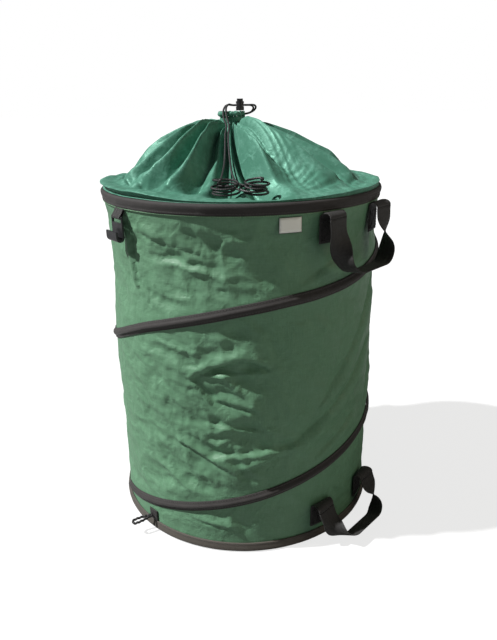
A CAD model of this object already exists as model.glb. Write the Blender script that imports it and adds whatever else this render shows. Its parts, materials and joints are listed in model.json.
"""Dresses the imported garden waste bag: cloth, tape, webbing, cord and plastic, on a pale studio floor.

Units are metres and +Z is up. An azimuth is in degrees about +Z: 0 faces -Y, the bag's front, and 90 faces +X.
"""

import bisect
import json
import math
import random

import bmesh
import bpy
import numpy as np
from mathutils import Matrix, Vector, noise


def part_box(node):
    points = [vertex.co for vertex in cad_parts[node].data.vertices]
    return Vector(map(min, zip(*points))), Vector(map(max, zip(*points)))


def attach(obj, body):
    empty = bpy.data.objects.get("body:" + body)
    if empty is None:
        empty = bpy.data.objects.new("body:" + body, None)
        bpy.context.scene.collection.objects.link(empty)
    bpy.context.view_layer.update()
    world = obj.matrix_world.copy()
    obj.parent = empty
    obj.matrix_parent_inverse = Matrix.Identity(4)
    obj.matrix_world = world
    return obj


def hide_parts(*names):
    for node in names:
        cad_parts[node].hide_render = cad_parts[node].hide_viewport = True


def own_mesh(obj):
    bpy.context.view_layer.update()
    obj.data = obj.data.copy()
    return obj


bl_info = {
    "name": "Garden waste bag",
    "version": (1, 0, 0),
    "blender": (4, 5, 0),
    "location": "View3D > Sidebar > Waste Bag",
    "description": "Builds the cloth, webbing, cord and plastic of a pop-up garden waste bag over its frame",
    "category": "Add Mesh",
}

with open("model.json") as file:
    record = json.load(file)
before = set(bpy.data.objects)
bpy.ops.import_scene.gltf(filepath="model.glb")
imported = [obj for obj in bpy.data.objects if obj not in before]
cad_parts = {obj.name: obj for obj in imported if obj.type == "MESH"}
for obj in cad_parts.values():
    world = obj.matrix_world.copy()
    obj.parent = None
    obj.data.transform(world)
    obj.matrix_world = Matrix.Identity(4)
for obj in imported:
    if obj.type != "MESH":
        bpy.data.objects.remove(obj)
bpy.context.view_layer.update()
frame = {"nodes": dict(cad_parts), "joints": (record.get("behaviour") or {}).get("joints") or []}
JOINTS = {joint["name"]: joint for joint in frame["joints"]}

# Air between two pieces that lie on each other, and thicknesses of the cloths
GAP = 0.0003
CLOTH_THICKNESS = 0.0009
NYLON_THICKNESS = 0.0006
LABEL_THICKNESS = 0.0003

# Drum: boxes of its parts and sizes that follow from them, read from the frame
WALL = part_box("body_wall")
RADIUS = WALL[1].x
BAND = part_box("top_binding")
BASE_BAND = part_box("base_binding")
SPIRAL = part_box("spiral_casing")
COVER_TOP = BAND[1].z + GAP

# Spiral casing: turns from the top hoop, with the share of the rise that is left at each
SPIRAL_START = 180.0
SPIRAL_WIDTH = 0.0170
SPIRAL_PATH = (
    (0.0, 1.0), (0.35, 0.815), (0.49, 0.765), (0.60, 0.690), (0.72, 0.573),
    (1.34, 0.255), (1.50, 0.143), (1.70, 0.0),
)

# Casing's section: share of its half width, and rise off the wall
SPIRAL_SECTION = (
    (1.0, 0.0003), (0.98, 0.0012), (0.80, 0.0015), (0.58, 0.0017), (0.34, 0.0038), (0.16, 0.0046),
    (0.0, 0.0048), (-0.16, 0.0046), (-0.34, 0.0038), (-0.58, 0.0017), (-0.80, 0.0015), (-0.98, 0.0012),
    (-1.0, 0.0003), (-0.5, 0.0002), (0.0, 0.0002), (0.5, 0.0002),
)

# Cover: radius, height of the ridges and of the front valley as shares of the drum's radius, and the valley's
# half width and azimuth
COVER_ROWS = (
    (1.000, 0.000, 0.000, 32.0, 4.0),
    (1.000, 0.020, 0.009, 32.0, 4.0),
    (0.918, 0.050, 0.016, 32.0, 4.0),
    (0.818, 0.118, 0.025, 30.0, 3.0),
    (0.691, 0.228, 0.066, 20.0, -1.0),
    (0.514, 0.362, 0.166, 15.0, -6.0),
    (0.336, 0.432, 0.282, 16.0, -9.0),
    (0.195, 0.448, 0.379, 22.0, -10.0),
    (0.091, 0.438, 0.424, 40.0, -10.0),
    (0.091, 0.460, 0.460, 40.0, -10.0),
)
COVER_COLUMNS = tuple(zip(*COVER_ROWS))
NECK_REACH = COVER_ROWS[-1][0]
NECK_SHIFT = -0.0120

# Relief of the cover: its deepest sink by azimuth and depth, sinks at its sides by azimuth, half width and depth, then
# gain of the folds, powers of their slow rise and steep fall, steepest slope, gathers round the neck and their rise,
# sink round the neck, crease inside the skirt and rise of the ruched seam. Depths of sinks are shares of the radius.
REAR_SINK = (125.0, 0.064)
SIDE_SINKS = ((-90.0, 48.0, 0.046), (88.0, 44.0, 0.040))
FOLD_GAIN = 2.3
FOLD_POWERS = (0.85, 2.3)
STEEPEST_FOLD = 1.35
GATHERS = 27.0
GATHER_RISE = 0.0062
NECK_SINK = 0.0060
SKIRT_CREASE = 0.0046
RUCHE_RISE = 0.0012

# Folds of the cover, by turns ridges and valleys from the left round the front: azimuth at four reaches, height of
# the ridge or valley, and the reaches between which it shows
FOLD_REACHES = (0.20, 0.45, 0.70, 0.95)
FRONT_FOLDS = (
    ((-82.0, -77.0, -76.0, -78.0), -0.0060, 0.14, 0.86),
    ((-68.0, -62.0, -60.0, -63.0), 0.0060, 0.14, 0.90),
    ((-57.0, -50.0, -53.0, -58.5), -0.0080, 0.12, 0.78),
    ((-47.0, -39.0, -42.0, -51.0), 0.0060, 0.14, 0.88),
    ((-40.0, -32.5, -35.0, -44.0), -0.0100, 0.12, 0.88),
    ((-33.0, -26.5, -27.0, -33.0), 0.0055, 0.14, 0.88),
    ((-27.0, -20.5, -20.0, -26.0), -0.0095, 0.12, 0.84),
    ((-19.0, -14.5, -14.0, -18.0), 0.0035, 0.20, 0.80),
    ((-8.0, -7.0, -6.5, -7.0), -0.0085, 0.20, 0.86),
    ((-5.0, -2.5, 1.0, 3.0), 0.0015, 0.20, 0.80),
    ((0.0, 3.0, 9.5, 13.0), -0.0095, 0.16, 0.92),
    ((5.0, 10.5, 16.0, 19.0), 0.0055, 0.16, 0.96),
    ((15.0, 20.5, 30.0, 35.0), -0.0075, 0.14, 0.78),
    ((32.0, 34.0, 42.0, 48.0), 0.0060, 0.14, 0.88),
    ((50.0, 49.0, 52.0, 57.0), -0.0065, 0.14, 0.80),
    ((62.0, 64.0, 66.0, 68.0), 0.0055, 0.14, 0.86),
)

# Creases of the wall: two ends, each an azimuth and a height, then depth and width. They step the cloth, by their
# depth times the gain.
CREASE_GAIN = 1.7
WALL_CREASES = (
    (-45.0, 0.430, -49.8, 0.522, 0.0052, 0.0075),
    (-42.0, 0.505, -18.0, 0.485, 0.0034, 0.014),
    (-30.0, 0.470, -10.0, 0.455, -0.0030, 0.011),
    (-20.0, 0.300, -1.0, 0.331, 0.0050, 0.010),
    (-1.0, 0.331, 8.0, 0.318, 0.0040, 0.008),
    (-21.0, 0.296, -13.5, 0.262, -0.0036, 0.008),
    (-20.0, 0.303, 7.0, 0.312, -0.0042, 0.012),
    (-10.0, 0.262, 4.0, 0.250, 0.0036, 0.009),
    (-26.0, 0.186, -8.0, 0.150, 0.0042, 0.010),
    (-12.0, 0.170, 20.0, 0.182, -0.0034, 0.011),
    (-3.0, 0.145, 14.0, 0.168, 0.0032, 0.008),
    (-14.0, 0.225, 5.0, 0.213, -0.0030, 0.009),
    (-38.0, 0.360, -26.0, 0.345, 0.0030, 0.009),
    (66.0, 0.300, 22.0, 0.190, 0.0042, 0.018),
    (70.0, 0.400, 34.0, 0.250, 0.0040, 0.020),
    (52.0, 0.200, 30.0, 0.150, 0.0034, 0.014),
    (44.0, 0.480, 14.0, 0.420, 0.0030, 0.016),
    (76.0, 0.260, 58.0, 0.130, 0.0034, 0.014),
    (-30.0, 0.055, -4.0, 0.040, 0.0030, 0.008),
    (118.0, 0.420, 150.0, 0.360, 0.0034, 0.014),
    (165.0, 0.250, 196.0, 0.215, -0.0034, 0.013),
    (214.0, 0.400, 245.0, 0.440, 0.0032, 0.015),
    (250.0, 0.200, 280.0, 0.160, 0.0034, 0.012),
)

# Wall: azimuth and half width of its most creased part, height above which it sinks in and how far, and its limits
CREASED_FRONT = -18.0
CREASED_HALF = 30.0
UPPER_WALL = 0.35
UPPER_SINK = 0.0034
WALL_INWARD = 0.0120
WALL_OUTWARD = 0.0040

# Handles: a free strap between two ends that are sewn to the wall and folded over. Each has its body, the drop of its
# loop and its tilt.
STRAP_WIDTH = 0.0380
STRAP_THICKNESS = 0.0020
STRAP_GAP = 0.0003
PATCH_LENGTH = 0.0360
FOLD_REACH = 0.0172
FOLD_RISE = 0.0072
HANDLE_HALF_ANGLE = 14.5
HANDLE_CORNER = 0.0320
HANDLE_TWIST = 84.0
HANDLE_NARROWING = 0.24
HANDLE_STATIONS = 37
HANDLES = {
    "carry_handle_right": ("hoop", 0.0780, 0.0),
    "carry_handle_left": ("hoop", 0.0780, 0.0),
    "tipping_handle": ("base", 0.0550, 20.0),
}

# Cords: sizes, then the places and turns of the two heaps. Each strand's route leads into the lock and falls out of it,
# both from the lock's middle, and runs over the cover by row, azimuth and height above the cloth.
ELASTIC_RADIUS = 0.0020
CORD_RADIUS = 0.0015
HEM_RADIUS = 0.0033
HEM_MOUTH = 90.0
HEM_MOUTH_HALF = 30.0
LOCK_RUN = 0.0120
LOCK_SLOT_HEIGHT = 0.0078
STRAND_SPACING = 0.0034
HEAPS = {"front": ((-0.095, -0.850), 150.0, 1.0), "rear": ((0.083, -0.859), 75.0, -1.0)}
HEAP_RADII = (0.0175, 0.0135)
HEAP_TURNS = 4.25
HEAP_SHRINK = 0.05
HEAP_CLIMB = 0.0037
HEAP_TILT = 0.18
HEAP_REST = 0.0063
HEAP_END = 0.4
KNOT_RADIUS = 0.0034
LEADS = {
    "front": (
        (0.0100, 0.0078, -0.0127), (0.0145, 0.0084, -0.0117), (0.0188, 0.0068, -0.0087),
        (0.0208, 0.0040, -0.0043), (0.0182, 0.0022, -0.0007),
    ),
    "rear": (
        (0.0105, 0.0155, -0.0125), (0.0160, 0.0132, -0.0111), (0.0218, 0.0095, -0.0078),
        (0.0246, 0.0040, -0.0033), (0.0216, -0.0008, -0.0001),
    ),
}
FALLS = {
    "front": (
        (-0.0175, 0.0015, 0.0007), (-0.0222, -0.0005, -0.0013), (-0.0252, -0.0050, -0.0061),
        (-0.0258, -0.0105, -0.0123), (-0.0248, -0.0180, -0.0193),
    ),
    "rear": (
        (-0.0162, -0.0020, 0.0013), (-0.0197, -0.0040, -0.0005), (-0.0214, -0.0080, -0.0048),
        (-0.0214, -0.0125, -0.0108), (-0.0203, -0.0190, -0.0178),
    ),
}
COURSES = {
    "front": (
        (7.00, -13.0, 0.0045), (6.50, -12.0, 0.0048), (6.00, -10.5, 0.0045), (5.50, -9.5, 0.0045),
        (5.00, -9.2, 0.0045), (4.50, -9.5, 0.0048), (4.00, -10.2, 0.0050), (3.55, -10.9, 0.0060),
    ),
    "rear": (
        (7.00, -7.6, 0.0055), (6.50, -7.2, 0.0058), (6.00, -6.6, 0.0055), (5.50, -5.8, 0.0055),
        (5.00, -5.0, 0.0055), (4.55, -4.3, 0.0060), (4.15, -3.3, 0.0065), (3.80, -1.9, 0.0070),
        (3.45, 0.0, 0.0078), (3.17, 2.4, 0.0092),
    ),
}

# Lights, by azimuth and elevation, and the camera: place, turns and lens of the photograph
KEY_PLACE = (-84.0, 49.0)
FRONT_PLACE = (66.0, 24.0)
CAMERA_PLACE = (0.0, -0.9951, 0.6763)
CAMERA_YAW = 0.0087
CAMERA_PITCH = 0.3506
CAMERA_ROLL = 0.0140
CAMERA_LENS = 33.75


def colour(name, description, default):
    """Colour property of a finish."""
    return bpy.props.FloatVectorProperty(
        name=name, description=description, default=default, size=3, min=0.0, max=1.0, subtype="COLOR"
    )


def size(name, description, default):
    """Length property of a piece."""
    return bpy.props.FloatProperty(
        name=name, description=description, default=default, min=0.0, max=0.1, precision=4, unit="LENGTH"
    )


def light_strength(name, description, default):
    """Strength property of a light."""
    return bpy.props.FloatProperty(name=name, description=description, default=default, min=0.0)


class BagCloth(bpy.types.PropertyGroup):
    """Wall, base and cover of the bag."""

    wall: colour("Wall", "Colour of the coated wall cloth", (0.115, 0.253, 0.144))
    wall_pale: colour("Wall, worn", "Colour of the wall where its coating is rubbed", (0.240, 0.464, 0.296))
    cover: colour("Cover", "Colour of the thin glossy cover", (0.064, 0.190, 0.132))
    cover_pale: colour("Cover, creased", "Colour of the cover along its creases", (0.340, 0.680, 0.550))
    crease: size("Creases", "Depth of the wall's small creases", 0.0046)
    waist: size("Waist", "How far the wall falls in between its hoops and spiral", 0.0018)
    bulge: size("Bulge", "How far the cover's skirt puffs up behind the rim", 0.0050)


class BagTrim(bpy.types.PropertyGroup):
    """Tapes, webbing, cord, plastic and label."""

    tape: colour("Tape", "Colour of the top binding and the spiral's casing", (0.030, 0.027, 0.026))
    base_tape: colour("Base tape", "Colour of the base binding", (0.080, 0.071, 0.060))
    tape_pale: colour("Tape, worn", "Colour of the tape on its raised ribs", (0.072, 0.066, 0.064))
    webbing: colour("Webbing", "Colour of the handles", (0.016, 0.015, 0.0145))
    webbing_pale: colour("Webbing, worn", "Colour of the webbing's raised yarns", (0.067, 0.064, 0.061))
    plastic: colour("Plastic", "Colour of the hooks and the cord lock", (0.019, 0.019, 0.021))
    cord: colour("Cord", "Colour of the drawstring", (0.016, 0.015, 0.016))
    label: colour("Label", "Colour of the bare woven label", (0.960, 0.970, 0.900))
    thread: colour("Thread", "Colour of the seam under the top band", (0.416, 0.688, 0.384))


class BagStage(bpy.types.PropertyGroup):
    """Studio round the bag."""

    key: light_strength("Key light", "Strength of the light at the left", 5.5)
    fill: light_strength("Fill", "Strength of the light from all round", 0.110)
    floor: colour("Floor", "Colour of the floor", (0.256, 0.256, 0.256))


def polar(azimuth, radius, height):
    """Point at an azimuth, a radius and a height."""
    angle = math.radians(azimuth)
    return Vector((math.sin(angle) * radius, -math.cos(angle) * radius, height))


def outward(azimuth):
    """Unit vector away from the axis."""
    return polar(azimuth, 1.0, 0.0)


def sideways(azimuth):
    """Unit vector along the drum's girth, towards growing azimuths."""
    angle = math.radians(azimuth)
    return Vector((math.cos(angle), math.sin(angle), 0.0))


def from_azimuth(azimuth, middle):
    """Degrees from a middle azimuth, between -180 and 180."""
    return (azimuth - middle + 180.0) % 360.0 - 180.0


def mix(a, b, share):
    """Value between a and b."""
    return a + (b - a) * share


def ease(share):
    """Smooth step from 0 to 1."""
    share = min(1.0, max(0.0, share))
    return share * share * (3.0 - 2.0 * share)


def dome(offset, half, power=4):
    """1 in the middle, and nearly 0 beyond a half width. A higher power has a flatter top."""
    return math.exp(-((offset / half) ** power))


def hermite(a, b, slope_a, slope_b, u):
    """Cubic from a to b with a slope at each end."""
    return (
        (2 * u ** 3 - 3 * u * u + 1) * a + (u ** 3 - 2 * u * u + u) * slope_a
        + (3 * u * u - 2 * u ** 3) * b + (u ** 3 - u * u) * slope_b
    )


def running_lengths(points):
    """Length along a line up to each of its points."""
    lengths = [0.0]
    for p, q in zip(points, points[1:]):
        lengths.append(lengths[-1] + (q - p).length)
    return lengths


def smooth_curve(points, spacing):
    """Points at about one spacing along a smooth curve through the given points."""
    points = [Vector(p) for p in points]
    padded = [2 * points[0] - points[1], *points, 2 * points[-1] - points[-2]]
    fine = []
    for a, b, c, d in zip(padded, padded[1:], padded[2:], padded[3:]):
        for step in range(16):
            t = step / 16
            fine.append(
                0.5 * (2 * b + (c - a) * t + (2 * a - 5 * b + 4 * c - d) * t * t + (3 * b - a - 3 * c + d) * t ** 3)
            )
    fine.append(points[-1])
    lengths = running_lengths(fine)
    count = max(2, round(lengths[-1] / spacing))
    result = []
    index = 0
    for step in range(count + 1):
        target = lengths[-1] * step / count
        while index < len(fine) - 2 and lengths[index + 1] < target:
            index += 1
        span = lengths[index + 1] - lengths[index]
        result.append(fine[index].lerp(fine[index + 1], (target - lengths[index]) / span if span else 0.0))
    return result


def spline_value(values, place):
    """Smooth value at a place that counts along a row of values."""
    row = min(int(place), len(values) - 2)
    a, b, c, d = (values[min(max(row + step, 0), len(values) - 1)] for step in (-1, 0, 1, 2))
    before = 0.5 * (c - a) if (c - b) * (b - a) > 0 else 0.0
    after = 0.5 * (d - b) if (d - c) * (c - b) > 0 else 0.0
    return hermite(b, c, before, after, place - row)


# Shader groups

class Graph:
    """Short way to add nodes to a shader tree."""

    def __init__(self, tree):
        self.tree = tree

    def add(self, kind, inputs=None, **settings):
        """Node with its settings, and a value or a link for each input that is named."""
        node = self.tree.nodes.new(kind)
        for key, value in settings.items():
            setattr(node, key, value)
        for key, value in (inputs or {}).items():
            self.feed(node.inputs[key], value)
        return node

    def feed(self, socket, value):
        """Link a socket to an output, or give it a value. A colour has three numbers."""
        if isinstance(value, bpy.types.NodeSocket):
            self.tree.links.new(value, socket)
        else:
            socket.default_value = (*value, 1.0) if socket.type == "RGBA" else value

    def math(self, operation, *values, clamp=False):
        """Result of an operation on values."""
        return self.add("ShaderNodeMath", dict(enumerate(values)), operation=operation, use_clamp=clamp).outputs[0]

    def blend(self, factor, a, b):
        """Colour between a and b."""
        node = self.add("ShaderNodeMix", {"Factor": factor, 6: a, 7: b}, data_type="RGBA", clamp_factor=True)
        return node.outputs[2]

    def spread(self, value, low, high, to_low=0.0, to_high=1.0):
        """Value eased from one range into another."""
        node = self.add("ShaderNodeMapRange", {
            "Value": value, "From Min": low, "From Max": high, "To Min": to_low, "To Max": to_high,
        }, interpolation_type="SMOOTHSTEP")
        return node.outputs["Result"]

    def noise(self, place, scale, detail, roughness=0.5):
        """Outputs of a noise texture."""
        return self.add("ShaderNodeTexNoise", {
            "Vector": place, "Scale": scale, "Detail": detail, "Roughness": roughness,
        }).outputs

    def parts(self, vector):
        """Numbers of a vector along x, y and z."""
        return self.add("ShaderNodeSeparateXYZ", {0: vector}).outputs

    def group(self, name, **inputs):
        """Outputs of a shader group placed with its own values."""
        return self.add("ShaderNodeGroup", inputs, node_tree=shader_group(name)).outputs


def build_weave(graph, source):
    """Plain weave: raised and sunk yarns over cloth coordinates in metres."""
    fineness = graph.math("DIVIDE", math.pi, source["Pitch"])
    scaled = graph.add("ShaderNodeVectorMath", {0: source["Cloth"], "Scale": fineness}, operation="SCALE")
    warp, weft, _ = graph.parts(scaled.outputs[0])
    crossing = graph.math("MULTIPLY", graph.math("SINE", warp), graph.math("SINE", weft))
    fuzz = graph.noise(source["Cloth"], 700.0, 2.0)["Fac"]
    return {"Height": graph.math("MULTIPLY_ADD", fuzz, 0.35, graph.math("MULTIPLY_ADD", crossing, 0.5, 0.5))}


def build_slubs(graph, source):
    """Thick and thin yarns that run both ways through a coarse cloth."""
    lines = []
    for stretch in ((900.0, 45.0, 1.0), (45.0, 900.0, 1.0)):
        scaled = graph.add("ShaderNodeVectorMath", {0: source["Cloth"], 1: stretch}, operation="MULTIPLY")
        lines.append(graph.spread(graph.noise(scaled.outputs[0], 1.0, 2.0)["Fac"], 0.48, 0.66))
    return {"Mask": graph.math("MULTIPLY", graph.math("ADD", *lines), 0.5)}


def build_ribs(graph, source):
    """Ribs across a tape, with the small slant of its yarns."""
    along, across = (graph.math("DIVIDE", part, source["Pitch"]) for part in graph.parts(source["Cloth"])[:2])
    slant = graph.math("PINGPONG", graph.math("MULTIPLY", across, source["Slant"]), 1.0)
    wave, yarn = (
        graph.math("SINE", graph.math("MULTIPLY", phase, 2 * math.pi))
        for phase in (graph.math("ADD", along, slant), across)
    )
    return {"Height": graph.math("MULTIPLY_ADD", yarn, 0.1, graph.math("MULTIPLY_ADD", wave, 0.4, 0.5))}


def build_crinkle(graph, source):
    """Crumpled cloth: soft hollows with sharp edges, and a worn mask along them."""
    place, scale = source["Place"], source["Scale"]
    warp = graph.noise(place, scale, 2.0)["Color"]
    bent = graph.add("ShaderNodeVectorMath", {0: warp, 1: (0.05, 0.05, 0.05), 2: place}, operation="MULTIPLY_ADD")
    ridge = graph.noise(bent.outputs[0], scale, 4.0, 0.55)["Fac"]
    sharp = graph.spread(graph.math("ABSOLUTE", graph.math("SUBTRACT", ridge, 0.5)), 0.0, 0.10, 1.0, 0.0)
    fine = graph.noise(place, graph.math("MULTIPLY", scale, 7.0), 5.0)["Fac"]
    return {
        "Height": graph.math("MULTIPLY_ADD", sharp, 0.6, graph.math("MULTIPLY", fine, 0.4)),
        "Worn": graph.math("MULTIPLY", sharp, graph.spread(fine, 0.35, 0.7)),
    }


def build_stitches(graph, source):
    """One row of stitches along a tape, at a place across it."""
    along, across, _ = graph.parts(source["Cloth"])
    off = graph.math("ABSOLUTE", graph.math("SUBTRACT", across, source["Row"]))
    line = graph.spread(off, graph.math("MULTIPLY", source["Width"], 0.4), source["Width"], 1.0, 0.0)
    phase = graph.math("FRACT", graph.math("DIVIDE", along, source["Pitch"]))
    dash = graph.spread(graph.math("ABSOLUTE", graph.math("SUBTRACT", phase, 0.5)), 0.30, 0.38, 1.0, 0.0)
    return {"Mask": graph.math("MULTIPLY", line, dash)}


def build_braid(graph, source):
    """Braid of a round cord, over its length and girth in metres."""
    along, girth = (graph.math("DIVIDE", part, source["Pitch"]) for part in graph.parts(source["Cloth"])[:2])
    strands = (
        graph.math("SINE", graph.math("MULTIPLY", graph.math(way, along, girth), math.pi))
        for way in ("ADD", "SUBTRACT")
    )
    return {"Height": graph.math("MULTIPLY_ADD", graph.math("MULTIPLY", *strands), 0.5, 0.5)}


def build_dust(graph, source):
    """Patchy dust and fading, over object coordinates."""
    broad = graph.noise(source["Place"], source["Scale"], 3.0, 0.6)["Fac"]
    fine = graph.noise(source["Place"], graph.math("MULTIPLY", source["Scale"], 12.0), 3.0)["Fac"]
    return {"Mask": graph.math("MULTIPLY", graph.spread(broad, 0.40, 0.68), graph.spread(fine, 0.25, 0.75))}


# How each group is built, and its inputs with their values. None is a vector.
SHADER_GROUPS = {
    "Plain weave": (build_weave, {"Cloth": None, "Pitch": 0.001}),
    "Slubs": (build_slubs, {"Cloth": None}),
    "Tape ribs": (build_ribs, {"Cloth": None, "Pitch": 0.001, "Slant": 0.5}),
    "Crinkle": (build_crinkle, {"Place": None, "Scale": 20.0}),
    "Stitch row": (build_stitches, {"Cloth": None, "Row": 0.0, "Pitch": 0.004, "Width": 0.0006}),
    "Cord braid": (build_braid, {"Cloth": None, "Pitch": 0.002}),
    "Dust": (build_dust, {"Place": None, "Scale": 6.0}),
}


def shader_group(name):
    """Node group of a name, made at its first use."""
    if name in bpy.data.node_groups:
        return bpy.data.node_groups[name]
    build, inputs = SHADER_GROUPS[name]
    tree = bpy.data.node_groups.new(name, "ShaderNodeTree")
    for label, default in inputs.items():
        kind = "NodeSocketVector" if default is None else "NodeSocketFloat"
        socket = tree.interface.new_socket(name=label, in_out="INPUT", socket_type=kind)
        if default is not None:
            socket.default_value = default
    graph = Graph(tree)
    results = build(graph, graph.add("NodeGroupInput").outputs)
    for label in results:
        tree.interface.new_socket(name=label, in_out="OUTPUT", socket_type="NodeSocketFloat")
    graph.add("NodeGroupOutput", results)
    return tree


# Finishes

class Finish(Graph):
    """Graph of a new material, with its cloth coordinates and its object coordinates."""

    def __init__(self, name):
        material = bpy.data.materials.new(name)
        material.use_nodes = True
        super().__init__(material.node_tree)
        self.shader = self.tree.nodes["Principled BSDF"].inputs
        self.cloth = self.add("ShaderNodeUVMap", uv_map="cloth").outputs["UV"]
        self.place = self.add("ShaderNodeTexCoord").outputs["Object"]

    def looks(self, values):
        """Feed the shader's inputs."""
        for key, value in values.items():
            self.feed(self.shader[key], value)

    def over_cloth(self, name, **inputs):
        """First output of a group over the cloth coordinates."""
        return self.group(name, Cloth=self.cloth, **inputs)[0]

    def crinkle(self, scale):
        """Height and worn mask of crumpled cloth."""
        return self.group("Crinkle", Place=self.place, Scale=scale)[:2]

    def dust(self, scale):
        """Mask of patchy dust."""
        return self.group("Dust", Place=self.place, Scale=scale)[0]

    def tone(self, a, share_a, b, share_b):
        """Sum of shares of two masks."""
        return self.math("MULTIPLY_ADD", a, share_a, self.math("MULTIPLY", b, share_b), clamp=True)

    def bump(self, height, distance, strength):
        """Bump of a height onto the shader's normal, on top of what is there."""
        inputs = {"Height": height, "Distance": distance, "Strength": strength}
        if self.shader["Normal"].is_linked:
            inputs["Normal"] = self.shader["Normal"].links[0].from_socket
        self.feed(self.shader["Normal"], self.add("ShaderNodeBump", inputs).outputs["Normal"])


def wall_finish(finish):
    """Coated woven wall cloth, satin, paler where it creases."""
    props = bpy.context.scene.bag_cloth
    height, worn = finish.crinkle(16.0)
    weave = finish.over_cloth("Plain weave", Pitch=0.0012)
    slub = finish.over_cloth("Slubs")
    base = finish.blend(finish.tone(finish.dust(5.0), 0.14, worn, 0.12), props.wall, props.wall_pale)
    base = finish.blend(finish.math("MULTIPLY", slub, 0.22), base, props.wall_pale)
    dark = [0.4 * value for value in props.wall]
    finish.looks({
        "Base Color": finish.blend(finish.math("MULTIPLY", weave, 0.14), base, dark),
        "Roughness": finish.spread(height, 0.0, 1.0, 0.44, 0.62), "Specular IOR Level": 0.45,
    })
    finish.bump(height, 0.0016, 0.60)
    finish.bump(slub, 0.0004, 0.35)
    finish.bump(weave, 0.00012, 0.6)


def cover_finish(finish):
    """Thin glossy nylon with fine crinkles."""
    props = bpy.context.scene.bag_cloth
    height, worn = finish.crinkle(24.0)
    finish.looks({
        "Base Color": finish.blend(finish.tone(worn, 0.16, finish.dust(9.0), 0.12), props.cover, props.cover_pale),
        "Roughness": finish.spread(height, 0.0, 1.0, 0.39, 0.54), "Specular IOR Level": 0.45,
        "Specular Tint": (0.42, 0.95, 0.72),
        "Sheen Weight": 0.10, "Sheen Roughness": 0.4, "Sheen Tint": (0.5, 1.0, 0.8),
    })
    finish.bump(height, 0.0011, 0.40)
    finish.bump(finish.over_cloth("Plain weave", Pitch=0.0009), 0.00008, 0.4)


def tape_finish(finish, rows, colour_name="tape"):
    """Ribbed binding tape with its rows of stitches."""
    props = bpy.context.scene.bag_trim
    plain = getattr(props, colour_name)
    pale = props.tape_pale if colour_name == "tape" else [min(1.0, 1.6 * value) for value in plain]
    height = finish.over_cloth("Tape ribs", Pitch=0.0016, Slant=0.35)
    base = finish.blend(finish.tone(finish.spread(height, 0.45, 1.0), 0.40, finish.dust(14.0), 0.35), plain, pale)
    for row in rows:
        mask = finish.over_cloth("Stitch row", Row=row, Pitch=0.0042, Width=0.0007)
        base = finish.blend(mask, base, props.webbing_pale)
        height = finish.math("MULTIPLY_ADD", mask, 1.5, height)
    finish.looks({
        "Base Color": base, "Roughness": 0.72, "Specular IOR Level": 0.30, "Sheen Weight": 0.08, "Sheen Roughness": 0.5,
    })
    finish.bump(height, 0.00025, 0.8)


def webbing_finish(finish, pitch):
    """Heavy woven webbing with its slanting yarns."""
    props = bpy.context.scene.bag_trim
    ribs = finish.over_cloth("Tape ribs", Pitch=pitch, Slant=0.55)
    tone = finish.tone(finish.spread(ribs, 0.4, 1.0), 0.55, finish.dust(20.0), 0.3)
    finish.looks({
        "Base Color": finish.blend(tone, props.webbing, props.webbing_pale),
        "Roughness": finish.spread(ribs, 0.0, 1.0, 0.74, 0.50), "Specular IOR Level": 0.40,
        "Sheen Weight": 0.10, "Sheen Roughness": 0.4,
    })
    finish.bump(ribs, 0.0004, 0.9)


def cord_finish(finish, pitch):
    """Braided polyester cord."""
    props = bpy.context.scene.bag_trim
    braid = finish.over_cloth("Cord braid", Pitch=pitch)
    worn = finish.math("MULTIPLY", finish.spread(braid, 0.4, 1.0), 0.3)
    finish.looks({
        "Base Color": finish.blend(worn, props.cord, props.webbing_pale), "Roughness": 0.50, "Specular IOR Level": 0.45,
    })
    finish.bump(braid, 0.0004, 0.9)


def plastic_finish(finish):
    """Moulded black plastic, satin, with small scuffs."""
    scuff = finish.dust(90.0)
    plastic, scuffed = bpy.context.scene.bag_trim.plastic, (0.112, 0.112, 0.115)
    finish.looks({
        "Base Color": finish.blend(finish.math("MULTIPLY", scuff, 0.35), plastic, scuffed),
        "Roughness": finish.spread(scuff, 0.0, 1.0, 0.28, 0.48),
    })
    finish.bump(finish.noise(finish.place, 900.0, 2.0)["Fac"], 0.0001, 0.4)


def steel_finish(finish):
    """Bare spring wire, drawn along its length."""
    stain = finish.dust(30.0)
    finish.looks({
        "Base Color": finish.blend(stain, (0.46, 0.46, 0.47), (0.28, 0.25, 0.22)),
        "Roughness": finish.spread(stain, 0.0, 1.0, 0.26, 0.48), "Metallic": 1.0,
    })


def label_finish(finish):
    """Bare woven satin label with a fine rib."""
    weave = finish.over_cloth("Plain weave", Pitch=0.0006)
    shade = finish.tone(finish.dust(60.0), 0.08, weave, 0.05)
    label, soiled = bpy.context.scene.bag_trim.label, (0.62, 0.67, 0.55)
    finish.looks({"Base Color": finish.blend(shade, label, soiled), "Roughness": 0.55})
    finish.bump(weave, 0.0001, 0.5)


def thread_finish(finish):
    """Pale green seam thread."""
    braid = finish.over_cloth("Cord braid", Pitch=0.0030)
    deep, thread = (0.08, 0.176, 0.096), bpy.context.scene.bag_trim.thread
    finish.looks({"Base Color": finish.blend(finish.spread(braid, 0.3, 0.9), deep, thread), "Roughness": 0.6})
    finish.bump(braid, 0.0003, 0.8)


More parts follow.
